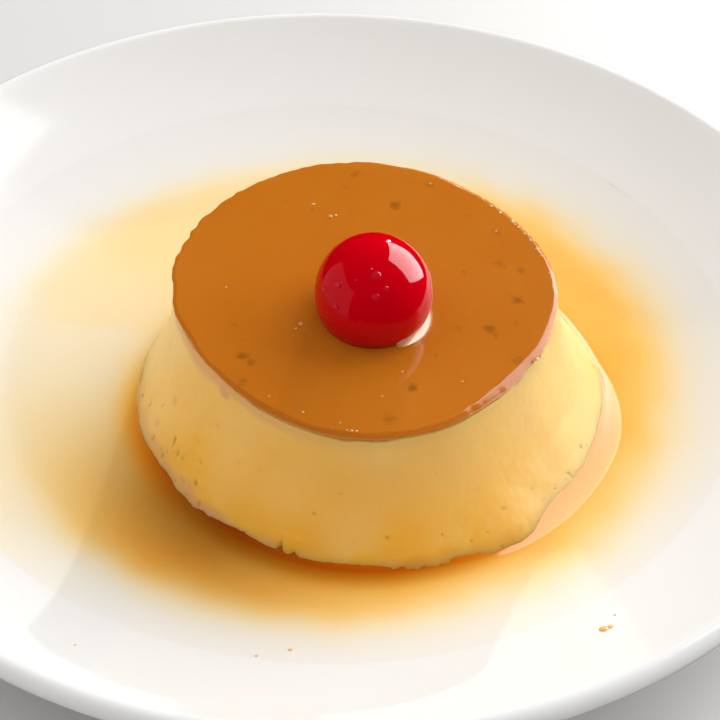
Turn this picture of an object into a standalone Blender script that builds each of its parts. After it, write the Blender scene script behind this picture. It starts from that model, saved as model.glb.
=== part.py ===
"""A turned-out creme caramel on its plate: custard, caramel layer, cherry and a pool of thin caramel.

Metres, +Z up. The origin is the middle of the plate's foot, on the table. -Y is the front.
The custard is a low cone that leans a little, so its rim and its foot have outlines of their own.
"""

import math

import bpy
from mathutils import Vector

GAP = 0.0003  # between pieces that touch

# Plate: a coupe, which rises from a flat floor in one curve to a rolled lip.
LIP_START = 0.0925  # where the upper face turns into the lip, 3 mm inside the plate's edge
PLATE_HALF_THICKNESS = 0.00195
PLATE_FLOOR = 0.0065
WELL_RADIUS = 0.045
PLATE_RISE = 0.0158
FOOT_RING_OUTER = 0.057
FOOT_RING_INNER = 0.0525

# Flan: custard and caramel together. Each lobe is (how many round the outline, cosine share, sine share).
FLAN_HEIGHT = 0.0256
FOOT_RADIUS = 0.0430
FOOT_CENTRE = Vector((0.0075, -0.0085))
FOOT_LOBES = ((2, -0.028, 0.011), (3, -0.005, 0.002), (4, 0.012, -0.004))
RIM_RADIUS = 0.0331
RIM_CENTRE = Vector((0.0061, -0.0085))
RIM_LOBES = ((2, -0.023, 0.010), (3, 0.0, 0.009), (4, 0.014, 0.005))
SIDE_HOLLOW = 0.0022  # how far the side sags in between foot and rim
TOP_SLOPE_X = math.tan(math.radians(-3.0))  # the top leans down to the right
TOP_SLOPE_Y = math.tan(math.radians(1.9))  # and down to the front
CARAMEL_THICKNESS = 0.0018
CARAMEL_ROUNDING = 0.0013
CUSTARD_ROUNDING = 0.0004

# Cherry: a ball that sits in the caramel up to below its middle.
CHERRY_RADIUS = 0.00995
CHERRY_SINK = 0.00515  # how much of the ball is cut away
CHERRY_CENTRE = Vector((0.0074, -0.0153))

# Pool of caramel sauce.
SAUCE_LEVEL = 0.0080
SAUCE_EDGE_DEPTH = 0.00025

EDGE_ANGLES = [math.radians(a) for a in (90, 60, 30, 0)]
ROUND_STEPS = 64
CHERRY_STEPS = 32


def plate_surface(radius):
    """Height of the plate's upper face: a flat floor, then a parabola up to the lip."""
    climb = max(radius - WELL_RADIUS, 0.0) / (LIP_START - WELL_RADIUS)
    return PLATE_FLOOR + PLATE_RISE * climb**2


def plate_normal(radius):
    """Unit normal of the upper face in the plane of the profile."""
    slope = 2 * PLATE_RISE * max(radius - WELL_RADIUS, 0.0) / (LIP_START - WELL_RADIUS) ** 2
    return Vector((-slope, 1.0)).normalized()


def sauce_radius():
    """Radius where the pool has thinned to its edge depth above the plate."""
    climb = (SAUCE_LEVEL - SAUCE_EDGE_DEPTH - GAP - PLATE_FLOOR) / PLATE_RISE
    return WELL_RADIUS + (LIP_START - WELL_RADIUS) * math.sqrt(climb)


def lobed(radius, lobes, angle):
    """A round outline's radius at an angle, made uneven by a few soft lobes."""
    share = 1.0
    for count, cosine, sine in lobes:
        share += cosine * math.cos(count * angle) + sine * math.sin(count * angle)
    return radius * share


def flan_point(angle, across, up):
    """A point of the flan. across goes from its axis, 0, to its side, 1, and up from foot to rim."""
    foot = lobed(FOOT_RADIUS, FOOT_LOBES, angle)
    rim = lobed(RIM_RADIUS, RIM_LOBES, angle)
    radius = foot * (1 - up) + rim * up - SIDE_HOLLOW * math.sin(math.pi * up)
    centre = FOOT_CENTRE.lerp(RIM_CENTRE, up)
    x = centre.x + across * radius * math.cos(angle)
    y = centre.y + across * radius * math.sin(angle)
    bottom = plate_surface(math.hypot(x, y)) + GAP
    return Vector((x, y, bottom + up * (flan_top(x, y) - bottom)))


def flan_top(x, y):
    """Height of the flan's sloping top."""
    lean = (x - RIM_CENTRE.x) * TOP_SLOPE_X + (y - RIM_CENTRE.y) * TOP_SLOPE_Y
    return PLATE_FLOOR + GAP + FLAN_HEIGHT + lean


def material(name, colour, roughness):
    """A Principled material of one colour."""
    made = bpy.data.materials.new(name)
    made.use_nodes = True
    shader = made.node_tree.nodes["Principled BSDF"]
    shader.inputs["Base Color"].default_value = (*colour, 1.0)
    shader.inputs["Roughness"].default_value = roughness
    shader.inputs["Metallic"].default_value = 0.0
    made.diffuse_color = (*colour, 1.0)
    return made


def turned(name, profile, steps, closed=False):
    """An object turned about Z from a profile of (radius, height), top to bottom on its outer side."""
    mesh = bpy.data.meshes.new(name)
    edges = [(i, i + 1) for i in range(len(profile) - 1)]
    if closed:
        edges.append((len(profile) - 1, 0))
    mesh.from_pydata([(r, 0.0, z) for r, z in profile], edges, [])
    made = bpy.data.objects.new(name, mesh)
    parts.objects.link(made)
    screw = made.modifiers.new("turn", "SCREW")
    screw.steps = screw.render_steps = steps
    screw.use_merge_vertices = True
    screw.merge_threshold = 0.00005
    screw.use_smooth_shade = True
    return made


def reshaped(made, place):
    """Replaces a turned object's mesh by the turned surface with each vertex moved by place(vertex)."""
    evaluated = made.evaluated_get(bpy.context.evaluated_depsgraph_get())
    mesh = bpy.data.meshes.new_from_object(evaluated)
    made.modifiers.clear()
    made.data = mesh
    for vertex in mesh.vertices:
        vertex.co = place(vertex.co)
    return made


def finish(made, surface):
    """Gives an object its material and smooth shading."""
    made.data.materials.clear()
    made.data.materials.append(surface)
    made.data.shade_smooth()


def arc(centre, radius, start, end, count):
    """Points (radius, height) on an arc about a centre, with the angles in degrees."""
    angles = [math.radians(start + (end - start) * i / count) for i in range(count + 1)]
    return [(centre[0] + radius * math.cos(a), centre[1] + radius * math.sin(a)) for a in angles]


def build_plate():
    """White porcelain: the profile goes out along the face, round the lip and back under to the ring."""
    radii = [WELL_RADIUS + (LIP_START - WELL_RADIUS) * i / 8 for i in range(9)]
    face = [(0.0, PLATE_FLOOR)] + [(r, plate_surface(r)) for r in radii]
    end = plate_normal(LIP_START)
    lip_centre = Vector(face[-1]) - end * PLATE_HALF_THICKNESS
    lean = math.degrees(math.atan2(end.y, end.x))
    lip = arc(lip_centre, PLATE_HALF_THICKNESS, lean - 30, lean - 150, 4)
    under = []
    for r in reversed(radii):
        under.append(Vector((r, plate_surface(r))) - plate_normal(r) * 2 * PLATE_HALF_THICKNESS)
    outside = [tuple(p) for p in under if p.x > FOOT_RING_OUTER + 0.002]
    base = PLATE_FLOOR - 2 * PLATE_HALF_THICKNESS
    ring_root = plate_surface(FOOT_RING_OUTER) - 2 * PLATE_HALF_THICKNESS
    ring = [
        (FOOT_RING_OUTER, ring_root),
        (FOOT_RING_OUTER, 0.0006),
        (FOOT_RING_OUTER - 0.0006, 0.0),
        (FOOT_RING_INNER + 0.0006, 0.0),
        (FOOT_RING_INNER, 0.0006),
        (FOOT_RING_INNER, base),
    ]
    profile = face + lip + outside + ring + [(0.0, base)]
    finish(turned("plate", profile, ROUND_STEPS), porcelain)


def slab(name, low, high, rounding):
    """A slice of the flan between two shares of its height, with its upper edge rounded."""
    wide = rounding / RIM_RADIUS
    tall = rounding / FLAN_HEIGHT
    centre = (1 - wide, high - tall)
    top = [(0.0, high), (0.4, high), (0.75, high)]
    edge = [(centre[0] + wide * math.cos(a), centre[1] + tall * math.sin(a)) for a in EDGE_ANGLES]
    count = max(1, round((centre[1] - low) * 9))
    side = [(1.0, centre[1] + (low - centre[1]) * (i + 1) / count) for i in range(count)]
    bottom = [(0.88, low), (0.6, low), (0.3, low), (0.0, low)]
    made = turned(name, top + edge + side + bottom, ROUND_STEPS)

    def place(spot):
        across = math.hypot(spot.x, spot.y)
        return flan_point(math.atan2(spot.y, spot.x), across, spot.z)

    return reshaped(made, place)


def build_flan():
    """Custard up to the caramel, and the caramel layer that the mould's bottom left on it."""
    joint = 1 - CARAMEL_THICKNESS / FLAN_HEIGHT
    finish(slab("custard", 0.0, joint - GAP / FLAN_HEIGHT, CUSTARD_ROUNDING), custard)
    finish(slab("caramel_layer", joint, 1.0, CARAMEL_ROUNDING), caramel)


def build_cherry():
    """A glossy ball with a flat cut below its middle, set square on the sloping caramel."""
    middle = CHERRY_RADIUS - CHERRY_SINK
    contact = math.degrees(math.asin(-middle / CHERRY_RADIUS))
    profile = arc((0.0, middle), CHERRY_RADIUS, 90, contact, 9)
    profile[0] = (0.0, profile[0][1])
    profile.append((0.0, 0.0))
    made = turned("cherry", profile, CHERRY_STEPS)
    x, y = CHERRY_CENTRE
    up = Vector((-TOP_SLOPE_X, -TOP_SLOPE_Y, 1.0)).normalized()
    made.location = (x, y, flan_top(x, y) + GAP)
    made.rotation_euler = up.to_track_quat("Z", "Y").to_euler()
    finish(made, cherry_skin)


def build_sauce():
    """A ring of sauce, level on top, which fills the plate's floor round the flan's foot."""
    shares = [0.0, 0.3, 0.65, 1.0]
    upper = [(1.0 + s, 1.0) for s in shares]
    lower = [(1.0 + s, 0.0) for s in reversed(shares)]
    made = turned("caramel_sauce", upper + lower, ROUND_STEPS, closed=True)

    def place(spot):
        share = math.hypot(spot.x, spot.y) - 1.0
        angle = math.atan2(spot.y, spot.x)
        way = Vector((math.cos(angle), math.sin(angle)))
        foot = flan_point(angle, 1.0, 0.0)
        wet_share = (SAUCE_LEVEL - foot.z) / (flan_top(foot.x, foot.y) - foot.z)
        near = flan_point(angle, 1.0, wet_share * spot.z).xy + way * GAP
        flat = near.lerp(FOOT_CENTRE + way * reach(way), share)
        height = SAUCE_LEVEL if spot.z > 0.5 else plate_surface(flat.length) + GAP
        return Vector((flat.x, flat.y, height))

    finish(reshaped(made, place), sauce)


def reach(way):
    """Distance from the middle of the flan's foot to the pool's edge, a circle about the plate's axis."""
    along = FOOT_CENTRE.dot(way)
    return -along + math.sqrt(along**2 + sauce_radius() ** 2 - FOOT_CENTRE.length_squared)


for old in list(bpy.data.objects):
    bpy.data.objects.remove(old, do_unlink=True)

parts = bpy.data.collections.new("creme_caramel")
bpy.context.scene.collection.children.link(parts)

porcelain = material("glazed_porcelain", (0.83, 0.82, 0.80), 0.12)
custard = material("baked_custard", (0.86, 0.66, 0.28), 0.45)
caramel = material("set_caramel", (0.56, 0.20, 0.02), 0.2)
cherry_skin = material("cherry_skin", (0.55, 0.004, 0.012), 0.1)
sauce = material("thin_caramel", (0.82, 0.42, 0.08), 0.05)

build_plate()
build_flan()
build_cherry()
build_sauce()
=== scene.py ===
"""A creme caramel on its plate: a shallow white porcelain plate, an upturned custard with its caramel
on top, a glazed cherry, and the caramel sauce that ran down and spread into a pool round the foot.
Sizes are in metres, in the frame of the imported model."""
import math

import bmesh
import bpy
import numpy as np
from mathutils import Matrix, Quaternion, Vector


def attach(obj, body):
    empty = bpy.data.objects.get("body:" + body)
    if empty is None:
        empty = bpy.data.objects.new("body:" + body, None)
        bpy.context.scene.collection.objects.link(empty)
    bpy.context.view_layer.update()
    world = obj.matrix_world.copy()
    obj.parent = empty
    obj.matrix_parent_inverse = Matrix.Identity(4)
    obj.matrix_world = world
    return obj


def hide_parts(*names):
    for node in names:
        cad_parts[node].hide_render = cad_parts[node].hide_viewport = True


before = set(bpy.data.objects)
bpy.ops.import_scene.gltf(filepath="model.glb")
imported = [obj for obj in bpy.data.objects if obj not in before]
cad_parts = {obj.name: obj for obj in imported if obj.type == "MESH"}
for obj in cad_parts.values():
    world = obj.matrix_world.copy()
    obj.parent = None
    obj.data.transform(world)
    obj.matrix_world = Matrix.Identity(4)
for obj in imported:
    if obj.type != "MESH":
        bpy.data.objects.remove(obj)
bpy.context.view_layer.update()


# ---------------------------------------------------------------------------------------------------
# The plate. A shallow coupe plate of white glazed porcelain, jiggered on a wheel and fired, so it is a
# turned shape: a flat well, a side that curves up to a rolled lip, and an unglazed foot ring below.
# ---------------------------------------------------------------------------------------------------
WELL_RADIUS = 0.045
LIP_START = 0.0925
PLATE_FLOOR = 0.0065
PLATE_RISE = 0.0158
PLATE_HALF_THICKNESS = 0.00195
FOOT_RING_OUTER = 0.057
FOOT_RING_INNER = 0.0525
PLATE_COLUMNS = 512


def paint(code):
    """The linear colour of an sRGB hex code: each share over 0.04045 is (share + 0.055) / 1.055, to the power 2.4."""
    share = np.array([int(code[i:i + 2], 16) / 255 for i in (1, 3, 5)])
    return (*np.where(share > 0.04045, ((share + 0.055) / 1.055) ** 2.4, share / 12.92), 1.0)


def step(value, start, end):
    """A smooth step from 0 at start to 1 at end: three times the square of the share less twice its cube."""
    share = np.clip((value - start) / (end - start), 0, 1)
    return share * share * (3 - 2 * share)


def uneven(points, size, seed, waves=24):
    """Smooth unevenness of about 1 either way: many plane waves of about that length, in random directions, added up."""
    chance = np.random.default_rng(seed)
    way = chance.normal(size=(waves, 3))
    way /= np.linalg.norm(way, axis=1, keepdims=True) * size * chance.uniform(0.7, 1.4, (waves, 1))
    return np.sin(points @ (way.T * math.tau) + chance.uniform(0, math.tau, waves)).sum(axis=-1) / math.sqrt(waves)


def skin(name, rings, material, colours=None, tube=False):
    """A closed mesh through rings of points (rings, columns, 3), each ring joined to the next by square faces.
    In a tube the last ring joins the first. Otherwise the first and last rings are single points, closed by
    triangles. Faces look outwards where the rings turn anticlockwise and run from the top down the outside."""
    count, columns = rings.shape[:2]
    number = np.arange(count * columns).reshape(count, columns)
    after = np.roll(number, -1, axis=1)
    if tube:
        upper, lower = number, np.roll(number, -1, axis=0)
        upper_after, lower_after = after, np.roll(after, -1, axis=0)
    else:
        number[0], after[0] = number[0, 0], number[0, 0]
        number[-1], after[-1] = number[-1, 0], number[-1, 0]
        upper, lower, upper_after, lower_after = number[1:-2], number[2:-1], after[1:-2], after[2:-1]
    squares = np.stack([upper, lower, lower_after, upper_after], axis=-1).reshape(-1, 4).tolist()
    if not tube:
        squares += np.stack([number[0], number[1], after[1]], axis=-1).tolist()
        squares += np.stack([number[-2], number[-1], after[-2]], axis=-1).tolist()
    mesh = bpy.data.meshes.new(name)
    mesh.from_pydata(rings.reshape(-1, 3).tolist(), [], squares)
    for label, values in (colours or {}).items():
        field = mesh.attributes.new(label, "FLOAT_COLOR", "POINT")
        flat = np.ones((count * columns, 4))
        flat[:, :3] = values.reshape(-1, 3)
        field.data.foreach_set("color", flat.ravel())
    if not tube:
        work = bmesh.new()
        work.from_mesh(mesh)
        bmesh.ops.delete(work, geom=[v for v in work.verts if not v.link_faces], context="VERTS")
        work.to_mesh(mesh)
        work.free()
    mesh.polygons.foreach_set("use_smooth", [True] * len(mesh.polygons))
    mesh.materials.append(material)
    mesh.update()
    piece = bpy.data.objects.new(name, mesh)
    bpy.context.scene.collection.objects.link(piece)
    return piece


def material(name):
    """A new material and its node tree, with the shader that node "Principled BSDF" names."""
    made = bpy.data.materials.new(name)
    made.use_nodes = True
    return made, made.node_tree, made.node_tree.nodes["Principled BSDF"]


def node(tree, kind, inputs=None, **settings):
    """Adds a node: settings go on the node itself, and inputs on its sockets, as values or as links."""
    made = tree.nodes.new(kind)
    for key, value in settings.items():
        setattr(made, key, value)
    for key, value in (inputs or {}).items():
        if isinstance(value, bpy.types.NodeSocket):
            tree.links.new(value, made.inputs[key])
        else:
            made.inputs[key].default_value = value
    return made


def beads(name, places, material):
    """Small drops in one mesh. Each is half an ellipsoid on its foot, facing its own way, with a radius and a
    height, closed below by a shallow cone."""
    lean = np.linspace(0, 0.5, 9)[1:, None] * math.pi
    spin = np.linspace(0, math.tau, 24, endpoint=False)
    points, faces = [], []
    for foot, facing, radius, height in places:
        facing = np.array(facing) / np.linalg.norm(facing)
        sideways = np.cross(facing, (0.6, 0.7, 0.1))
        sideways /= np.linalg.norm(sideways)
        ring = np.cos(spin)[:, None] * sideways + np.sin(spin)[:, None] * np.cross(facing, sideways)
        dome = foot + radius * np.sin(lean)[..., None] * ring + height * np.cos(lean)[..., None] * facing
        first = len(points)
        points += [foot + height * facing, *dome.reshape(-1, 3), foot - 0.4 * height * facing]
        last = len(points) - 1
        for k in range(24):
            after = (k + 1) % 24
            faces.append((first, first + 1 + k, first + 1 + after))
            faces += [(first + 1 + j * 24 + k, first + 25 + j * 24 + k, first + 25 + j * 24 + after,
                       first + 1 + j * 24 + after) for j in range(7)]
            faces.append((last, last - 24 + after, last - 24 + k))
    mesh = bpy.data.meshes.new(name)
    mesh.from_pydata([tuple(point) for point in points], [], faces)
    mesh.polygons.foreach_set("use_smooth", [True] * len(mesh.polygons))
    mesh.materials.append(material)
    piece = bpy.data.objects.new(name, mesh)
    bpy.context.scene.collection.objects.link(piece)
    return piece


def plate_surface(radius):
    """Height of the plate's face: level in the well, then rising with the square of the distance past it."""
    return PLATE_FLOOR + PLATE_RISE * (np.maximum(radius - WELL_RADIUS, 0) / (LIP_START - WELL_RADIUS)) ** 2


def plate_profile():
    """Radius and height along half the plate, from the middle of its face, over the lip and back below.
    The lip is half a circle about the wall's middle line, and the foot ring is a step below with soft edges."""
    slope = 2 * PLATE_RISE / (LIP_START - WELL_RADIUS)
    tilt = math.atan(slope)
    inside = np.concatenate([np.linspace(0, WELL_RADIUS, 24)[:-1], np.linspace(WELL_RADIUS, LIP_START, 50)])
    face = np.stack([inside, plate_surface(inside)], axis=1)
    middle = face[-1] + PLATE_HALF_THICKNESS * np.array([math.sin(tilt), -math.cos(tilt)])
    turn = tilt - np.linspace(0, math.pi, 18)[1:]
    lip = middle + PLATE_HALF_THICKNESS * np.stack([-np.sin(turn), np.cos(turn)], axis=1)
    outside = np.linspace(LIP_START, FOOT_RING_OUTER + 0.0035, 30)[1:]
    lean = 2 * PLATE_RISE * np.maximum(outside - WELL_RADIUS, 0) / (LIP_START - WELL_RADIUS) ** 2
    drop = 2 * PLATE_HALF_THICKNESS / np.sqrt(1 + lean * lean)
    back = np.stack([outside + drop * lean, plate_surface(outside) - drop], axis=1)
    base = 0.0026
    ring = np.array([
        (FOOT_RING_OUTER + 0.0012, 0.0031), (FOOT_RING_OUTER + 0.0004, 0.0022), (FOOT_RING_OUTER, 0.0008),
        (FOOT_RING_OUTER - 0.0006, 0.0), (FOOT_RING_INNER + 0.0006, 0.0), (FOOT_RING_INNER, 0.0008),
        (FOOT_RING_INNER - 0.0006, base - 0.0003), (FOOT_RING_INNER - 0.0014, base), (0.03, base), (0.0, base)])
    return np.concatenate([face, lip, back, ring])


porcelain, tree, shader = material("white_glazed_porcelain")
# Glazed porcelain: a clear glassy coat over a dense white body, fired smooth, with a faint ripple in the
# glaze that only shows in its reflections.
place = node(tree, "ShaderNodeTexCoord").outputs["Object"]
tone = node(tree, "ShaderNodeTexNoise", {"Vector": place, "Scale": 45.0, "Detail": 3.0})
white = node(tree, "ShaderNodeMix", {"Factor": tone.outputs["Fac"], "A": paint("#E9E7E4"), "B": paint("#EBEAE8")},
             data_type="RGBA")
orange_peel = node(tree, "ShaderNodeTexNoise", {"Vector": place, "Scale": 160.0, "Detail": 2.0})
ripple = node(tree, "ShaderNodeBump", {"Height": orange_peel.outputs["Fac"], "Strength": 0.04, "Distance": 0.0004})
smear = node(tree, "ShaderNodeMapRange", {"Value": tone.outputs["Fac"], "To Min": 0.07, "To Max": 0.12})
for key, value in (("Base Color", white.outputs["Result"]), ("Roughness", smear.outputs["Result"]),
                   ("Normal", ripple.outputs["Normal"])):
    tree.links.new(value, shader.inputs[key])
shader.inputs["IOR"].default_value = 1.5
shader.inputs["Specular IOR Level"].default_value = 0.17

profile = plate_profile()
round_way = np.linspace(0, math.tau, PLATE_COLUMNS, endpoint=False)
rings = np.empty((len(profile), PLATE_COLUMNS, 3))
rings[..., 0] = profile[:, None, 0] * np.cos(round_way)
rings[..., 1] = profile[:, None, 0] * np.sin(round_way)
rings[..., 2] = profile[:, None, 1]
plate = skin("porcelain_plate", rings, porcelain)
plate.visible_glossy = False
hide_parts("plate")
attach(plate, "root")


# ---------------------------------------------------------------------------------------------------
# The custard. Eggs, milk and sugar baked in a fluted-free round mould and turned out: a low cone with a
# slightly hollow side, smooth where it met the mould, pitted by steam near its foot, ragged at the foot.
# ---------------------------------------------------------------------------------------------------
GAP = 0.0003
FLAN_HEIGHT = 0.0256
FOOT_RADIUS = 0.0430
FOOT_CENTRE = (0.0075, -0.0085)
FOOT_LOBES = ((2, -0.028, 0.011), (3, -0.005, 0.002), (4, 0.012, -0.004))
RIM_RADIUS = 0.0331
RIM_CENTRE = (0.0061, -0.0085)
RIM_LOBES = ((2, -0.023, 0.010), (3, 0.0, 0.009), (4, 0.014, 0.005))
SIDE_HOLLOW = 0.0022
TOP_SLOPE_X = math.tan(math.radians(-3.0))
TOP_SLOPE_Y = math.tan(math.radians(1.9))
FLAN_COLUMNS = 560
EDGE_WIDTH = 0.0005
EDGE_STEEP = 0.52


def lobed(radius, lobes, angle):
    """A round outline with shallow lobes: the radius times one plus a few cosine and sine shares of the angle."""
    return radius * (1 + sum(c * np.cos(n * angle) + s * np.sin(n * angle) for n, c, s in lobes))


def flan_top(x, y):
    """Height of the caramel's top, a plane that leans a little to one side."""
    return PLATE_FLOOR + GAP + FLAN_HEIGHT + (x - RIM_CENTRE[0]) * TOP_SLOPE_X + (y - RIM_CENTRE[1]) * TOP_SLOPE_Y


def flan_point(angle, across, up):
    """A point of the flan: its outline goes from the foot's to the rim's with height, drawn in by half a
    sine wave, scaled by the share across, and its height runs from the plate to the sloping top."""
    side = (lobed(FOOT_RADIUS, FOOT_LOBES, angle) * (1 - up) + lobed(RIM_RADIUS, RIM_LOBES, angle) * up
            - SIDE_HOLLOW * np.sin(math.pi * up)) * across
    x = FOOT_CENTRE[0] * (1 - up) + RIM_CENTRE[0] * up + side * np.cos(angle)
    y = FOOT_CENTRE[1] * (1 - up) + RIM_CENTRE[1] * up + side * np.sin(angle)
    bottom = plate_surface(np.hypot(x, y)) + GAP
    return np.stack([x, y, bottom + up * (flan_top(x, y) - bottom)], axis=-1)


def spot(angle, height, where, up, wide, tall):
    """A round or drawn-out spot on the side, 1 at its middle: a bell curve in degrees round and metres up."""
    turn = (np.degrees(angle) - where + 180) % 360 - 180
    return np.exp(-(turn * math.radians(1) * FOOT_RADIUS / wide) ** 2 - ((height - up) / tall) ** 2)


angle = np.linspace(0, math.tau, FLAN_COLUMNS, endpoint=False)[None, :]
up = (1 - np.linspace(0, 1, 118) ** 1.1)[:, None] * 0.985 + 0.0 * angle
side = flan_point(angle + 0.0 * up, 1.0, up)
tall = up * FLAN_HEIGHT
outward = np.stack([np.cos(angle) + 0 * up, np.sin(angle) + 0 * up, 0.25 + 0 * up], axis=-1)
degrees_round = np.degrees(angle)
front_left = np.exp(-((degrees_round - 232) / 26) ** 2) + 0 * up

# Steam holes: a few wide ones listed one by one, and many fine ones in the belt above the foot.
pits = 0 * up
for where, height, wide, high in (
        (211, 0.0062, 0.0005, 0.0011), (214, 0.0054, 0.0005, 0.0008), (209, 0.0028, 0.0005, 0.0006),
        (223, 0.0077, 0.0004, 0.0005), (235, 0.0121, 0.0004, 0.0004), (224, 0.0045, 0.0006, 0.0006),
        (227, 0.0024, 0.0007, 0.0006), (258, 0.0096, 0.0004, 0.0004), (242, 0.0131, 0.0003, 0.0004),
        (203, 0.0031, 0.0005, 0.0008), (194, 0.0050, 0.0005, 0.0011), (200, 0.0078, 0.0004, 0.0006),
        (264, 0.0138, 0.0003, 0.0003), (275, 0.0067, 0.0005, 0.0004), (289, 0.0160, 0.0003, 0.0004),
        (305, 0.0060, 0.0004, 0.0005), (337, 0.0040, 0.0004, 0.0006), (238, 0.0019, 0.0004, 0.0003),
        (241, 0.0026, 0.0004, 0.0003), (120, 0.0050, 0.0005, 0.0008), (80, 0.0071, 0.0004, 0.0006),
        (36, 0.0044, 0.0005, 0.0005), (150, 0.0034, 0.0005, 0.0009)):
    pits = np.maximum(pits, spot(angle, tall, where, height, 0.8 * wide, 0.75 * high))
belt = step(tall, 0.012, 0.002) * (0.35 + 0.65 * step(uneven(side, 0.016, 5), -0.2, 0.9))
crowded = 0.5 * np.exp(-((degrees_round - 318) / 26) ** 2) + 0.6 * np.exp(-((degrees_round - 200) / 22) ** 2)
fine = step(uneven(side, 0.0011, 6), 1.15 - crowded, 2.3 - crowded) * belt
crack = np.maximum(spot(angle, tall, 250.6, 0.0028, 0.0005, 0.0012), spot(angle, tall, 254, 0.0023, 0.0004, 0.0008))
lump = (0.3 * spot(angle, tall, 232, 0.0040, 0.0008, 0.0007)
        + 0.9 * spot(angle, tall, 19, 0.0066, 0.0012, 0.0014) + 0.7 * spot(angle, tall, 18, 0.0031, 0.0010, 0.0011)
        + 0.6 * spot(angle, tall, 253, 0.0052, 0.0022, 0.0004))
ragged = step(tall, 0.0050, 0.0014) * (0.14 + 0.12 * front_left)
belly = (0.0012 * np.exp(-(((degrees_round - 338 + 180) % 360 - 180) / 38) ** 4)
         + 0.0012 * np.exp(-((degrees_round - 303) / 13) ** 2))
out = (0.00016 * uneven(side, 0.021, 1) + 0.00006 * uneven(side, 0.006, 2) + 0.000015 * uneven(side, 0.0018, 3)
       - 0.00022 * pits - 0.00012 * fine - 0.0007 * crack + 0.0004 * lump
       + ragged * (0.00018 * uneven(side, 0.0065, 4) + 0.00012 * uneven(side, 0.0023, 8))
       + belly * step(tall, 0.011, 0.0))

# How wide and deep the caramel's bevelled edge is, and how far it hangs over the custard, by angle.
degrees = np.degrees(angle)
edge_ring = flan_point(angle, 1.0, 1.0 + 0 * angle)
turned = (degrees - 318 + 180) % 360 - 180
edge_width = (EDGE_WIDTH + 0.00085 * np.exp(-(turned / 26) ** 2)) * (
    1 + 0.10 * uneven(edge_ring, 0.016, 21) + 0.02 * uneven(edge_ring, 0.004, 22))
beaded = 0.28 * np.exp(-((degrees - 42) / 22) ** 2)
edge_drop = EDGE_STEEP * edge_width * (1 + 0.04 * uneven(edge_ring, 0.019, 23) + beaded * uneven(edge_ring, 0.0016, 28))
below_rim = FLAN_HEIGHT - tall
hang = edge_drop + (0.0004 + 0.0010 * np.exp(-(((degrees_round - 258) / 36) ** 2))
        + 0.00014 * uneven(side[:1], 0.011, 26) + 0.00008 * uneven(side[:1], 0.0035, 27))
tucked = 0.0034 * step(below_rim, hang + 0.0002, hang - 0.0005) ** 1.2
side = side + outward * (out * step(up, 1.0, 0.93) - tucked)[..., None]

# Where the caramel soaked in or ran down, the custard is tan: at the foot, and below the left of the rim.
foot_stain = step(tall, 0.0042 + 0.0010 * uneven(side, 0.006, 11), 0.0022) * (0.25 + 0.75 * np.clip(front_left, 0, 1))
rim_stain = step(below_rim, 0.0042 + 0.0007 * uneven(side, 0.009, 12), 0.0022)
rim_stain = rim_stain * (0.15 + 0.85 * np.exp(-((np.degrees(angle) - 218) / 34) ** 2))
golden = spot(angle, tall, 219, 0.0100, 0.0034, 0.0019)
# The front of the custard, turned away from the window, is painted a deeper golden, more so low down: painted shade.
painted_front_shade = (0.60 + 0.40 * step(tall, 0.021, 0.003)) * np.exp(-(((degrees_round - 256) / 62) ** 4)) * (
    0.9 + 0.15 * uneven(side, 0.012, 13))
# Low on the front, by the foot, it goes dark amber: partly caramel soaked in, partly painted shade.
foot_soak_and_shade = step(tall, 0.0046 + 0.0008 * uneven(side, 0.005, 30), 0.0003) * np.exp(-(((degrees_round - 272) / 44) ** 4))
golden = np.clip(np.maximum(golden, painted_front_shade), 0, 1)
golden = np.maximum(golden, foot_soak_and_shade) + foot_soak_and_shade
marks = np.stack([np.clip(foot_stain + rim_stain, 0, 1), np.clip(pits + 1.3 * fine + crack, 0, 1), golden], axis=-1)

custard, tree, shader = material("baked_egg_custard")
# Set custard: pale yellow, dense and moist, so light sinks in a few millimetres and it shines softly.
place = node(tree, "ShaderNodeTexCoord").outputs["Object"]
marked = node(tree, "ShaderNodeSeparateColor",
              {"Color": node(tree, "ShaderNodeAttribute", attribute_name="marks").outputs["Color"]})
cloud = node(tree, "ShaderNodeTexNoise", {"Vector": place, "Scale": 110.0, "Detail": 4.0, "Roughness": 0.6})
colour = node(tree, "ShaderNodeMix", {"Factor": cloud.outputs["Fac"], "A": paint("#F1C876"), "B": paint("#F8D591")},
              data_type="RGBA").outputs["Result"]
speckle = node(tree, "ShaderNodeTexNoise", {"Vector": place, "Scale": 1100.0, "Detail": 2.0}).outputs["Fac"]
torn = node(tree, "ShaderNodeMath", {0: speckle, 1: 1.0, 2: marked.outputs["Green"]}, operation="MULTIPLY_ADD")
# Blue is the golden spot and the painted shade on the front.
for value, low, high, most, code in ((marked.outputs["Blue"], 0, 1, 0.95, "#EEB23A"),
                                     # Past 1 the blue turns dark amber at the front foot: partly soaked caramel, partly
                                     # painted shade.
                                     (marked.outputs["Blue"], 1, 2, 0.80, "#CC8216"),
                                     (marked.outputs["Red"], 0, 1, 0.80, "#DBA274"),
                                     (torn.outputs["Value"], 0.72, 1.5, 0.7, "#A8851F")):
    weight = node(tree, "ShaderNodeMapRange", {"Value": value, "From Min": low, "From Max": high, "To Max": most})
    colour = node(tree, "ShaderNodeMix", {"Factor": weight.outputs["Result"], "A": colour, "B": paint(code)},
                  data_type="RGBA").outputs["Result"]
curd = node(tree, "ShaderNodeTexNoise", {"Vector": place, "Scale": 700.0, "Detail": 3.0})
grain = node(tree, "ShaderNodeBump", {"Height": curd.outputs["Fac"], "Strength": 0.2, "Distance": 0.0002})
damp = node(tree, "ShaderNodeMapRange", {"Value": cloud.outputs["Fac"], "To Min": 0.34, "To Max": 0.5})
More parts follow.
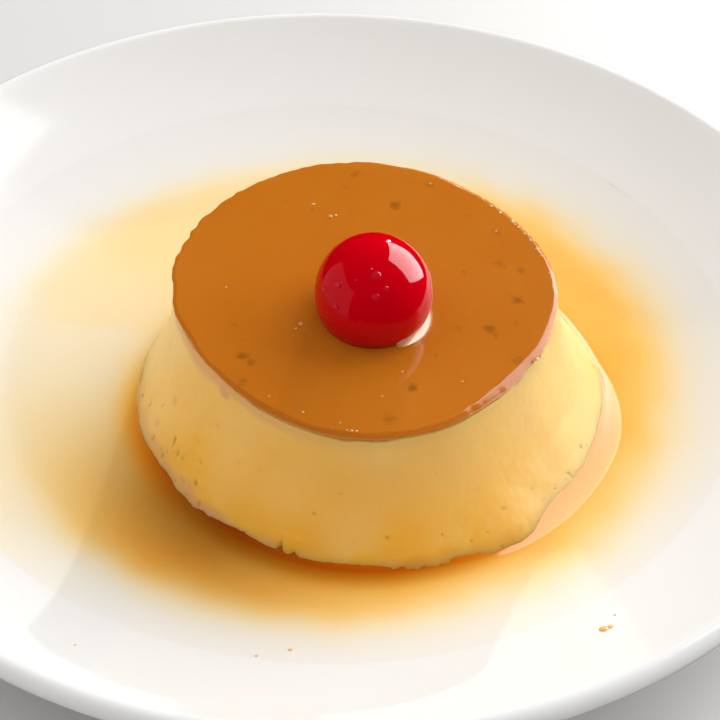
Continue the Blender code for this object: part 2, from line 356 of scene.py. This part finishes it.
for key, value in (("Base Color", colour), ("Roughness", damp.outputs["Result"]), ("Normal", grain.outputs["Normal"])):
    tree.links.new(value, shader.inputs[key])
shader.inputs["IOR"].default_value = 1.38
shader.inputs["Specular IOR Level"].default_value = 0.3
shader.inputs["Subsurface Weight"].default_value = 0.9
shader.inputs["Subsurface Radius"].default_value = (1.0, 0.62, 0.28)
shader.inputs["Subsurface Scale"].default_value = 0.0035

inner = np.array([0.6, 0.0])[:, None]
below_cap = flan_point(angle + 0 * inner, inner, 0.985 + 0 * inner)[::-1]
under_foot = flan_point(angle + 0 * inner, inner, 0.0 * inner)
rings = np.concatenate([below_cap, side, under_foot])
fields = np.zeros_like(rings)
fields[2:-2] = marks
flan = skin("custard_body", rings, custard, {"marks": fields})
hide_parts("custard")
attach(flan, "root")


# ---------------------------------------------------------------------------------------------------
# The caramel layer. Sugar syrup cooked amber in the mould and softened by the custard: a satin skin under
# two millimetres thick that rounds over the rim, ends in a wavy edge, and climbs a little up the cherry.
# ---------------------------------------------------------------------------------------------------
CHERRY_RADIUS = 0.00995
CHERRY_CENTRE = (0.0074, -0.0153)
CHERRY_RISE = 0.0048

notch = (0.00022 * uneven(edge_ring, 0.009, 24) + 0.00012 * uneven(edge_ring, 0.003, 25)) * (
    0.45 + 0.8 * np.exp(-((degrees - 150) / 45) ** 2))
rim_distance = np.hypot(edge_ring[..., 0] - RIM_CENTRE[0], edge_ring[..., 1] - RIM_CENTRE[1]) + 0.00012 + notch

flat_share = np.linspace(0, 1, 122)[:, None]
slide = np.linspace(0, 1, 18)[1:, None]
distance = np.concatenate([flat_share * (rim_distance - edge_width),
                           rim_distance - edge_width * (1 - slide)])
drop = np.concatenate([0 * flat_share * angle, edge_drop * slide ** 1.25])
x = RIM_CENTRE[0] + distance * np.cos(angle)
y = RIM_CENTRE[1] + distance * np.sin(angle)
cap = np.stack([x, y, flan_top(x, y) - drop], axis=-1)
fall = (np.linspace(0, 1, 9)[1:, None]) ** 1.6
wall = flan_point(angle + 0 * fall, 1.0, 1 - (edge_drop + fall * (hang - edge_drop)) / FLAN_HEIGHT)
wall_out = (rim_distance - np.hypot(edge_ring[..., 0] - RIM_CENTRE[0], edge_ring[..., 1] - RIM_CENTRE[1])) * (1 - fall)
wall += (np.stack([np.cos(angle), np.sin(angle), 0 * angle], axis=-1)
         * (wall_out + 0.00008 * (1 - fall) - 0.00035 * fall ** 3)[..., None])

# Climb round the cherry, low waves, and the small hollows that bubbles left, with darker syrup in them.
from_cherry = np.hypot(x - CHERRY_CENTRE[0], y - CHERRY_CENTRE[1])
waterline = math.sqrt(CHERRY_RADIUS ** 2 - CHERRY_RISE ** 2)
climb = 0.0005 * np.exp(-np.maximum(from_cherry - waterline, 0) / 0.0008) * (
    0.35 + 0.65 * np.exp(-(((np.degrees(np.arctan2(y - CHERRY_CENTRE[1], x - CHERRY_CENTRE[0])) + 30) / 55) ** 4)))
hollows = 0 * x
for east, north, width, depth in (
        (-15.5, -20.3, 0.5, 0.5), (-14.0, -24.0, 0.5, 0.5), (-13.8, -27.4, 1.0, 1.0), (-12.4, -28.8, 0.8, 0.9),
        (-13.4, -33.2, 0.9, 0.7), (10.2, -39.4, 1.1, 0.7), (14.1, -32.0, 0.9, 1.0), (3.6, 21.4, 0.9, 0.8),
        (1.8, 17.8, 0.8, 0.5), (10.9, 13.7, 1.3, 0.9), (17.3, 20.1, 0.8, 0.7), (24.1, 12.3, 0.6, 0.5),
        (29.0, 7.9, 0.8, 0.8), (23.0, -2.9, 0.6, 0.7), (29.1, -0.2, 1.1, 0.7), (33.2, -1.8, 1.0, 0.8),
        (32.2, -9.4, 1.3, 0.9), (31.6, -15.1, 0.7, 0.6), (27.1, -17.1, 1.0, 1.0), (28.1, -18.7, 0.6, 0.8),
        (17.9, -24.4, 0.7, 0.6), (21.6, -17.4, 0.9, 0.5), (31.4, -24.0, 1.1, 0.6), (-3.9, 10.7, 0.4, 0.6),
        (-20.5, -4.0, 0.7, 0.4), (-8.6, 12.6, 0.6, 0.4)):
    reach = 0.001 * width * (1 + 0.35 * uneven(cap, 0.002, 31))
    hollows = np.maximum(hollows, depth * np.exp(-((x - 0.001 * east) ** 2 + (y - 0.001 * north) ** 2) / reach ** 2))
level = step(distance, rim_distance, rim_distance - 0.004)
cap[..., 2] += climb + (0.00003 * uneven(cap, 0.017, 32) + 0.000006 * uneven(cap, 0.006, 33)) * level - 0.00005 * hollows
thin = step(fall, 0.2, 1.0) + 0 * angle

caramel, tree, shader = material("soft_caramel")
# Cooked sugar softened to a thick syrup: brown-orange, clear for a millimetre or two over the pale
# custard, with a wet satin shine. It looks darker where it stands deep, and redder where it is thin.
place = node(tree, "ShaderNodeTexCoord").outputs["Object"]
marked = node(tree, "ShaderNodeSeparateColor",
              {"Color": node(tree, "ShaderNodeAttribute", attribute_name="marks").outputs["Color"]})
cloud = node(tree, "ShaderNodeTexNoise", {"Vector": place, "Scale": 34.0, "Detail": 5.0, "Roughness": 0.55})
colour = node(tree, "ShaderNodeMix", {"Factor": cloud.outputs["Fac"], "A": paint("#B5640F"), "B": paint("#C2731E")},
              data_type="RGBA").outputs["Result"]
speckle = node(tree, "ShaderNodeTexNoise", {"Vector": place, "Scale": 1300.0, "Detail": 2.0}).outputs["Fac"]
torn = node(tree, "ShaderNodeMath", {0: speckle, 1: 0.9, 2: marked.outputs["Red"]}, operation="MULTIPLY_ADD")
for value, low, high, most, code in ((marked.outputs["Green"], 0, 1, 0.7, "#DDA06C"),
                                     (torn.outputs["Value"], 0.66, 1.4, 0.62, "#744810")):
    weight = node(tree, "ShaderNodeMapRange", {"Value": value, "From Min": low, "From Max": high, "To Max": most})
    colour = node(tree, "ShaderNodeMix", {"Factor": weight.outputs["Result"], "A": colour, "B": paint(code)},
                  data_type="RGBA").outputs["Result"]
grit = node(tree, "ShaderNodeTexNoise", {"Vector": place, "Scale": 420.0, "Detail": 2.0})
wet = node(tree, "ShaderNodeBump", {"Height": grit.outputs["Fac"], "Strength": 0.05, "Distance": 0.0002})
satin = node(tree, "ShaderNodeMapRange", {"Value": cloud.outputs["Fac"], "To Min": 0.10, "To Max": 0.17})
for key, value in (("Base Color", colour), ("Roughness", satin.outputs["Result"]), ("Normal", wet.outputs["Normal"])):
    tree.links.new(value, shader.inputs[key])
shader.inputs["IOR"].default_value = 1.47
shader.inputs["Specular IOR Level"].default_value = 0.23
shader.inputs["Subsurface Weight"].default_value = 0.35
shader.inputs["Subsurface Radius"].default_value = (1.0, 0.35, 0.08)
shader.inputs["Subsurface Scale"].default_value = 0.002

below = flan_point(angle, 0.0, 0.95 + 0 * angle)
rings = np.concatenate([cap, wall, below])
fields = np.zeros_like(rings)
fields[:len(cap), :, 0] = hollows
fields[len(cap):-1, :, 1] = thin
cover = skin("caramel_cap", rings, caramel, {"marks": fields})
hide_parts("caramel_layer")
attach(cover, "root")

froth, tree, shader = material("caramel_bubble")
# Tiny bubbles left on the caramel: thin amber skins, glassy.
place = node(tree, "ShaderNodeTexCoord").outputs["Object"]
cloud = node(tree, "ShaderNodeTexNoise", {"Vector": place, "Scale": 900.0, "Detail": 2.0})
colour = node(tree, "ShaderNodeMix", {"Factor": cloud.outputs["Fac"], "A": paint("#CC8A48"), "B": paint("#DBA468")},
              data_type="RGBA").outputs["Result"]
tree.links.new(colour, shader.inputs["Base Color"])
shader.inputs["Roughness"].default_value = 0.05
shader.inputs["IOR"].default_value = 1.47
places = []
for east, north, size in ((-4.6, -19.0, 0.42), (-5.4, -20.2, 0.26), (-3.8, 12.3, 0.34), (-0.6, 9.3, 0.4), (0.3, 9.7, 0.3),
                          (-3.4, -39.2, 0.26), (2.6, -41.0, 0.22), (-17.6, -11.2, 0.24), (34.6, -23.6, 0.4),
                          (35.4, -22.9, 0.3), (-8.9, -36.2, 0.2), (12.4, -28.6, 0.22), (17.3, 20.4, 0.24),
                          (29.0, 8.3, 0.22), (9.2, -34.5, 0.2), (22.2, -30.0, 0.2)):
    spot_x, spot_y = 0.001 * east, 0.001 * north
    places.append((np.array([spot_x, spot_y, flan_top(spot_x, spot_y) + 0.00001]), (0, 0, 1), 0.001 * size, 0.0004 * size))
for where, size in ((55, 0.36), (51, 0.26), (46, 0.4), (43, 0.24), (38, 0.34), (35, 0.26), (30, 0.4), (27, 0.28), (33, 0.2)):
    turn = math.radians(where)
    reach = float(np.interp(where, degrees[0], rim_distance[0])) - 0.0004
    spot_x, spot_y = RIM_CENTRE[0] + reach * math.cos(turn), RIM_CENTRE[1] + reach * math.sin(turn)
    places.append((np.array([spot_x, spot_y, flan_top(spot_x, spot_y) - 0.00012]), (0, 0, 1), 0.001 * size, 0.0007 * size))
# A few beads of syrup stand on the rim too, most of them at the back on the right.
for turn, size in ((47, 0.30), (43, 0.22), (37.5, 0.36), (36, 0.26), (34.5, 0.24), (31, 0.28), (27.5, 0.26), (23, 0.34),
                   (21.5, 0.30), (20, 0.24), (12, 0.2), (266, 0.2), (267.2, 0.24), (268.5, 0.22), (262, 0.18)):
    foot = flan_point(math.radians(turn), 0.982, 1.0)
    places.append((foot - (0, 0, 0.0002), (0.3, 0, 1), 0.0015 * size, 0.0012 * size))
bubbles = beads("caramel_bubbles", places, froth)
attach(bubbles, "root")


# ---------------------------------------------------------------------------------------------------
# The cherry. A candied cherry, stoned and dyed red, glossy with sugar syrup, pressed into the caramel,
# with small drops of syrup left on its skin.
# ---------------------------------------------------------------------------------------------------
cherry_skin, tree, shader = material("candied_cherry_skin")
# Candied cherry: a clear red jelly-like skin under a film of syrup, so it is glassy and deep in colour.
place = node(tree, "ShaderNodeTexCoord").outputs["Object"]
cloud = node(tree, "ShaderNodeTexNoise", {"Vector": place, "Scale": 130.0, "Detail": 3.0})
colour = node(tree, "ShaderNodeMix", {"Factor": cloud.outputs["Fac"], "A": paint("#C6000E"), "B": paint("#D20014")},
              data_type="RGBA").outputs["Result"]
crease = node(tree, "ShaderNodeTexNoise", {"Vector": place, "Scale": 300.0, "Detail": 2.0})
taut = node(tree, "ShaderNodeBump", {"Height": crease.outputs["Fac"], "Strength": 0.03, "Distance": 0.0002})
slick = node(tree, "ShaderNodeMapRange", {"Value": cloud.outputs["Fac"], "To Min": 0.03, "To Max": 0.07})
for key, value in (("Base Color", colour), ("Roughness", slick.outputs["Result"]), ("Normal", taut.outputs["Normal"])):
    tree.links.new(value, shader.inputs[key])
shader.inputs["IOR"].default_value = 1.47
shader.inputs["Specular IOR Level"].default_value = 0.3
shader.inputs["Subsurface Weight"].default_value = 0.25
shader.inputs["Subsurface Radius"].default_value = (1.0, 0.10, 0.12)
shader.inputs["Subsurface Scale"].default_value = 0.0025

cherry_height = float(flan_top(*CHERRY_CENTRE)) + CHERRY_RISE
lean = np.linspace(0, math.pi, 150)[:, None]
spin = np.linspace(0, math.tau, 256, endpoint=False)[None, :]
way = np.stack([np.sin(lean) * np.cos(spin), np.sin(lean) * np.sin(spin), np.cos(lean) + 0 * spin], axis=-1)
ball = CHERRY_RADIUS * (1 + 0.006 * uneven(way, 1.6, 41) + 0.0016 * uneven(way, 0.45, 42) - 0.012 * way[..., 2] ** 8)
centre = np.array([CHERRY_CENTRE[0], CHERRY_CENTRE[1], cherry_height])
ball_points = centre + way * ball[..., None]
ball_points[..., 2] = np.maximum(ball_points[..., 2], cherry_height - CHERRY_RISE - 0.0008)
cherry = skin("candied_cherry", ball_points, cherry_skin)
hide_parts("cherry")
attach(cherry, "root")

# A little caramel drawn up against the cherry on its right: a thin bent drop, thickest in the middle. All of it
# leans one way, away from the cherry, so one window lights it from end to end.
along = np.linspace(0, 1, 60)[:, None]
thick = np.sin(math.pi * along) ** 0.7
bend = np.radians(46 - 122 * along)
girth = np.linspace(0, math.tau, 21)[None, :-1]
outwards = waterline + 0.0003 + 0.0009 * thick * np.cos(girth)
x = CHERRY_CENTRE[0] + outwards * np.cos(bend)
y = CHERRY_CENTRE[1] + outwards * np.sin(bend)
height = flan_top(x, y) + thick * (0.0002 - 0.0005 * np.sin(girth) - 0.0005 * np.cos(girth))
syrup = skin("drawn_up_syrup", np.stack([x, y, height], axis=-1), froth)
syrup.data.normals_split_custom_set_from_vertices(np.tile([0.42, -0.07, 0.90], (len(syrup.data.vertices), 1)).tolist())
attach(syrup, "root")

dew, tree, shader = material("clear_syrup_on_cherry")
# Drops of thin sugar syrup on the cherry: as clear as glass, so they take the cherry's red, paler at their rims.
place = node(tree, "ShaderNodeTexCoord").outputs["Object"]
cloud = node(tree, "ShaderNodeTexNoise", {"Vector": place, "Scale": 600.0, "Detail": 2.0})
colour = node(tree, "ShaderNodeMix", {"Factor": cloud.outputs["Fac"], "A": paint("#C4061A"), "B": paint("#D21A2C")},
              data_type="RGBA").outputs["Result"]
tree.links.new(colour, shader.inputs["Base Color"])
shader.inputs["Roughness"].default_value = 0.04
shader.inputs["IOR"].default_value = 1.45
places = []
for turn, lift, size in ((-87, 56, 0.80), (-75, 43, 0.52), (-88, 36, 0.62), (-138, 37, 0.66), (-130, 16, 0.6), (-153, 22, 0.7),
                         (-75, 25, 0.3), (-103, 10, 0.24), (43, 76, 0.42), (168, 57, 0.3), (-118, 48, 0.26), (-60, 14, 0.26),
                         (-140, 4, 0.3), (-98, 62, 0.28)):
    turn, lift = math.radians(turn), math.radians(lift)
    out_way = np.array([math.cos(turn) * math.cos(lift), math.sin(turn) * math.cos(lift), math.sin(lift)])
    places.append((centre + out_way * (CHERRY_RADIUS - 0.0001), out_way, 0.001 * size, 0.00022 * size + 0.0001))
drops = beads("syrup_drops", places, dew)
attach(drops, "root")


# ---------------------------------------------------------------------------------------------------
# The caramel sauce. Thin syrup that ran down the custard and pooled in the plate's well: level, deepest
# at the front and right, drawn up where it wets the custard's foot, and thinning to a film outwards.
# ---------------------------------------------------------------------------------------------------
SAUCE_LEVEL = 0.0080
FILM_END = 0.080

right = np.exp(-(((degrees - 335 + 180) % 360 - 180) / 42) ** 4)
front = np.exp(-((degrees - 262) / 36) ** 4)
swing = (degrees - 335 + 180) % 360 - 180
ramp = 0.0031 * np.exp(-np.abs(swing / 32) ** 2.6) * (1 + 0.03 * uneven(edge_ring, 0.02, 54)) * step(swing, 42, 30)
climb_high = 0.0003 - 0.0001 * right + 0.0008 * front
climb_wide = 0.0006 + 0.0004 * front

tucked_in = 0.0025
share = np.linspace(0, 1, 150)[:, None] ** 1.5
start = flan_point(angle, 1.0, 0.045 + 0 * angle)
inset = tucked_in - 0.9 * belly
start_x, start_y = start[..., 0] - inset * np.cos(angle), start[..., 1] - inset * np.sin(angle)
across = start_x * np.cos(angle) + start_y * np.sin(angle)
length = -across + np.sqrt(across ** 2 + FILM_END ** 2 - start_x ** 2 - start_y ** 2)
gone = length * share
x = start_x + gone * np.cos(angle)
y = start_y + gone * np.sin(angle)
radius = np.hypot(x, y)
way_round = np.degrees(np.arctan2(y, x)) % 360
at = np.stack([x, y, 0 * x], axis=-1)

wall_distance = np.maximum(gone - tucked_in + 0.66 * climb_high, 0)
floor = plate_surface(radius) + 0.00005 * step(radius, FILM_END - 0.001, 0.062) - 0.00001
sharp = 9000.0
top = np.logaddexp(sharp * SAUCE_LEVEL, sharp * floor) / sharp
top = top + climb_high * np.exp(-wall_distance / climb_wide)
top = top + 0.33 * 0.00015 * np.log1p(np.exp(np.minimum((ramp - gone + tucked_in) / 0.00015, 60)))

# How strongly the syrup colours the white below it: full in the pool, weak on the left, fading at its edge.
# At the front left and against the foot, part of it is painted shadow and shade.
left = (way_round - 172 + 180) % 360 - 180
full = 2.35 - 1.8 / (1 + np.exp(np.where(left > 0, (left - 54) / 5.5, (-left - 55) / 24)))
# Deeper at the front left, where the flan's shadow falls: partly deeper sauce, partly painted shadow.
full += 0.7 * np.exp(-((way_round - 240) / 22) ** 2) - 0.6 * np.exp(-((way_round - 92) / 28) ** 2)
edge = 0.0600 + 0.0006 * uneven(at, 0.03, 51) + 0.0004 * uneven(at, 0.011, 52) - 0.0022 * np.exp(
    -((way_round - 100) / 45) ** 2)
soft = 0.0021 + 0.0007 * np.exp(-(((way_round - 330 + 180) % 360 - 180) / 70) ** 2)
strength = full / (1 + np.exp((radius - edge) / soft))
film = 0.34 * np.exp(-(((way_round - 310 + 180) % 360 - 180) / 75) ** 2) * step(radius, 0.079, 0.056)
strength = strength * (1 + 0.05 * uneven(at, 0.019, 53)) + film
near_left = np.exp(-((degrees - 202) / 24) ** 2)
# Deeper against the custard's foot, where the sauce climbs it. At the front this deep amber is partly painted shade
# from the flan above.
strength += (0.4 * np.exp(-wall_distance / 0.0016) + 2.6 * near_left * np.exp(-(wall_distance / 0.0034) ** 2)
             + 1.7 * front * np.exp(-(wall_distance / 0.0023) ** 2) + 0.45 * np.exp(-((way_round - 212) / 16) ** 2))
drawn_up = step(ramp - gone + tucked_in, -0.0002, 0.0004)
strength += 1.3 * drawn_up
lean = (drawn_up * step(swing, -2, -32))[..., None] * np.array([0.13, 0.15, 0.0])
gathered = 1 + 0.17 * (1 - np.exp(-strength[..., None]))
tint = np.array(paint("#E9E7E4"))[:3] * gathered * np.exp(-strength[..., None] * np.array([0.0, 0.265, 0.92]))
# Painted shade: a narrow darker band against the custard's foot, strongest at the front, where the flan keeps light off
# the sauce.
under = np.exp(-((degrees - 267) / 39) ** 4)
painted_contact_shade = (0.12 + 0.84 * under + 0.22 * near_left) * (1 - 0.6 * right) * np.exp(-(wall_distance / (0.0016 + 0.0016 * front)) ** 2)
tint *= 1 - painted_contact_shade[..., None] * np.array([0.45, 0.50, 0.75])
# Painted shadow: a broad darker patch off the custard's foot at the front left, where the flan's shadow falls.
painted_foot_shadow = np.exp(-(((degrees - 228) / 26) ** 2)) * np.exp(-(wall_distance / 0.012) ** 2)
tint *= 1 - painted_foot_shadow[..., None] * np.array([0.60, 0.58, 0.54])

sauce, tree, shader = material("thin_caramel_sauce")
# Caramel sauce over white porcelain: clear amber that colours the plate more the deeper it stands, and a
# smooth wet surface. The depth is worked out above and kept as a colour at each point of the mesh, together
# with painted shade against the custard's foot and painted shadow at its front left.
place = node(tree, "ShaderNodeTexCoord").outputs["Object"]
depth_and_shade_tint = node(tree, "ShaderNodeAttribute", attribute_name="depth_and_shade_tint").outputs["Color"]
cloud = node(tree, "ShaderNodeTexNoise", {"Vector": place, "Scale": 55.0, "Detail": 3.0})
shade = node(tree, "ShaderNodeMapRange", {"Value": cloud.outputs["Fac"], "To Min": 0.985, "To Max": 1.0})
colour = node(tree, "ShaderNodeVectorMath", {0: depth_and_shade_tint, 1: shade.outputs["Result"]}, operation="MULTIPLY")
slack = node(tree, "ShaderNodeTexNoise", {"Vector": place, "Scale": 90.0, "Detail": 1.0})
swell = node(tree, "ShaderNodeBump", {"Height": slack.outputs["Fac"], "Strength": 0.03, "Distance": 0.0004})
wet = node(tree, "ShaderNodeMapRange", {"Value": cloud.outputs["Fac"], "To Min": 0.06, "To Max": 0.11})
leaning = node(tree, "ShaderNodeVectorMath", {0: swell.outputs["Normal"], 1: node(
    tree, "ShaderNodeAttribute", attribute_name="lean").outputs["Vector"]}, operation="ADD")
leaning = node(tree, "ShaderNodeVectorMath", {0: leaning.outputs["Vector"]}, operation="NORMALIZE")
for key, value in (("Base Color", colour.outputs["Vector"]), ("Roughness", wet.outputs["Result"]),
                   ("Normal", leaning.outputs["Vector"])):
    tree.links.new(value, shader.inputs[key])
shader.inputs["IOR"].default_value = 1.45
shader.inputs["Specular IOR Level"].default_value = 0.27

below = np.linspace(1, 0, 12)[:, None]
under_x = start_x + length * below * np.cos(angle)
under_y = start_y + length * below * np.sin(angle)
under = np.stack([under_x, under_y, plate_surface(np.hypot(under_x, under_y)) - 0.0004], axis=-1)
rings = np.concatenate([np.stack([x, y, top], axis=-1), under])
fields = np.concatenate([tint, np.repeat(tint[-1:], len(under), axis=0)])
leans = np.concatenate([lean, np.zeros((len(under), FLAN_COLUMNS, 3))])
pool = skin("sauce_pool", rings, sauce, {"depth_and_shade_tint": fields, "lean": leans}, tube=True)
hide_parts("caramel_sauce")
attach(pool, "root")

splash, tree, shader = material("caramel_sauce_drop")
# Drops of the same sauce that fell on the bare plate: amber, wet and glassy.
place = node(tree, "ShaderNodeTexCoord").outputs["Object"]
cloud = node(tree, "ShaderNodeTexNoise", {"Vector": place, "Scale": 500.0, "Detail": 2.0})
colour = node(tree, "ShaderNodeMix", {"Factor": cloud.outputs["Fac"], "A": paint("#EBB65C"), "B": paint("#F0C478")},
              data_type="RGBA").outputs["Result"]
tree.links.new(colour, shader.inputs["Base Color"])
shader.inputs["Roughness"].default_value = 0.06
shader.inputs["IOR"].default_value = 1.45
places = []
for east, north, size in ((43.9, -68.0, 0.75), (44.9, -67.6, 0.5), (-4.0, -70.2, 0.35), (-9.1, -72.2, 0.28), (46.0, -64.5, 0.22),
                          (-36.0, -74.8, 0.2)):
    spot_x, spot_y = 0.001 * east, 0.001 * north
    away = math.hypot(spot_x, spot_y)
    rise = 2 * PLATE_RISE * (away - WELL_RADIUS) / (LIP_START - WELL_RADIUS) ** 2
    places.append((np.array([spot_x, spot_y, plate_surface(away) + 0.00005]),
                   (-rise * spot_x / away, -rise * spot_y / away, 1), 0.001 * size, 0.00035 * size))
spilt = beads("sauce_drops", places, splash)
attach(spilt, "root")

# On the left the sauce clings to the custard in a thin bright thread, uneven in thickness.
along = np.linspace(0, 1, 150)[:, None]
turn = np.radians(164 + 38 * along)
low, high = flan_point(turn, 1.0, 0.0), flan_point(turn, 1.0, 1.0)
up = (SAUCE_LEVEL + 0.0003 - low[..., 2]) / (high[..., 2] - low[..., 2])
middle = flan_point(turn, 0.999, up)
girth = np.linspace(0, math.tau, 13)[None, :-1]
thick = 0.00019 * np.sin(math.pi * along) ** 0.4 * (1 + 0.3 * uneven(middle, 0.0022, 61))
thread = middle + np.stack([thick * np.cos(girth) * np.cos(turn), thick * np.cos(girth) * np.sin(turn),
                            -thick * np.sin(girth)], axis=-1)
thread = skin("clinging_sauce", thread, splash)
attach(thread, "root")


# ---------------------------------------------------------------------------------------------------
# The table, the light and the camera. A plain pale table top; a large window behind on the right, a
# small bright lamp low behind, and a soft pale wall on the left; the camera looks down from the front.
# ---------------------------------------------------------------------------------------------------
table_top, tree, shader = material("pale_table_top")
place = node(tree, "ShaderNodeTexCoord").outputs["Object"]
cloud = node(tree, "ShaderNodeTexNoise", {"Vector": place, "Scale": 9.0, "Detail": 4.0})
colour = node(tree, "ShaderNodeMix", {"Factor": cloud.outputs["Fac"], "A": paint("#CDCBC9"), "B": paint("#D3D1CF")},
              data_type="RGBA").outputs["Result"]
tree.links.new(colour, shader.inputs["Base Color"])
shader.inputs["Roughness"].default_value = 0.6
table_mesh = bpy.data.meshes.new("table")
reach = 1.6
table_mesh.from_pydata([(-reach, -reach, 0), (reach, -reach, 0), (reach, reach, 0), (-reach, reach, 0)], [],
                       [(0, 1, 2, 3)])
table_mesh.materials.append(table_top)
table = bpy.data.objects.new("table", table_mesh)
table.visible_glossy = False
bpy.context.scene.collection.objects.link(table)

world = bpy.data.worlds.new("dim_room")
world.use_nodes = True
tree = world.node_tree
# The room is pale overhead and dim all round. Only the window, the lamp and the wall show in reflections.
facing = node(tree, "ShaderNodeSeparateXYZ", {"Vector": node(tree, "ShaderNodeTexCoord").outputs["Generated"]})
overhead = node(tree, "ShaderNodeMapRange", {"Value": facing.outputs["Z"], "From Min": -0.2, "From Max": 0.95,
                                             "To Min": 0.17, "To Max": 0.83}, interpolation_type="SMOOTHSTEP")
tree.links.new(overhead.outputs["Result"], tree.nodes["Background"].inputs["Strength"])
world.cycles_visibility.glossy = False
tree.nodes["Background"].inputs["Color"].default_value = paint("#FAFCFF")
bpy.context.scene.world = world


def lamp(name, across, rise, away, width, height, brightness, code, roll=0):
    """A flat light so many degrees to the right of straight behind, so many up and so far away, that faces the
    object, turned by roll about its own middle. Its power is its face's brightness times its area times pi."""
    across, rise = math.radians(across), math.radians(rise)
    toward = Vector((math.sin(across) * math.cos(rise), math.cos(across) * math.cos(rise), math.sin(rise)))
    data = bpy.data.lights.new(name, "AREA")
    data.shape = "RECTANGLE"
    data.size, data.size_y = width, height
    data.energy = brightness * width * height * math.pi
    data.color = paint(code)[:3]
    made = bpy.data.objects.new(name, data)
    turned = toward.to_track_quat("Z", "Y") @ Quaternion((0, 0, 1), math.radians(roll))
    made.location, made.rotation_mode, made.rotation_quaternion = toward * away, "QUATERNION", turned
    bpy.context.scene.collection.objects.link(made)
    return made


lamp("window", 52, 28, 1.5, 1.58, 1.52, 3.2, "#FFFFFF", roll=45).visible_glossy = False
lamp("window_glint", 52, 28, 1.45, 1.50, 1.46, 9.6, "#FFFFFF", roll=45).visible_diffuse = False
lamp("low_sun", 13, 15, 1.5, 0.022, 0.022, 4100.0, "#FFF7EC")
lamp("left_wall", -98, 4, 1.5, 2.3, 2.0, 0.42, "#FFF0FA").visible_diffuse = False
lamp("left_bounce", -95, 30, 1.6, 1.8, 1.4, 0.72, "#FFF8F0").visible_glossy = False

camera_data = bpy.data.cameras.new("camera")
camera_data.lens = 89.46
camera_data.sensor_width = 36.0
camera_data.clip_start = 0.01
camera = bpy.data.objects.new("camera", camera_data)
looks_down = math.radians(42.7)
tilted = math.radians(1.65)
target = np.array([0.00544, 0.00056, 0.0068])
ahead = np.array([0, math.cos(looks_down), -math.sin(looks_down)])
level_right = np.array([1.0, 0, 0])
level_up = np.array([0, math.sin(looks_down), math.cos(looks_down)])
camera_right = math.cos(tilted) * level_right + math.sin(tilted) * level_up
camera_up = -math.sin(tilted) * level_right + math.cos(tilted) * level_up
stand = target - 0.330 * ahead
pose = np.eye(4)
pose[:3, 0], pose[:3, 1], pose[:3, 2], pose[:3, 3] = camera_right, camera_up, -ahead, stand
camera.matrix_world = Matrix(pose.tolist())
bpy.context.scene.collection.objects.link(camera)
bpy.context.scene.camera = camera
bpy.context.scene.view_settings.view_transform = "Standard"

bpy.context.view_layer.update()
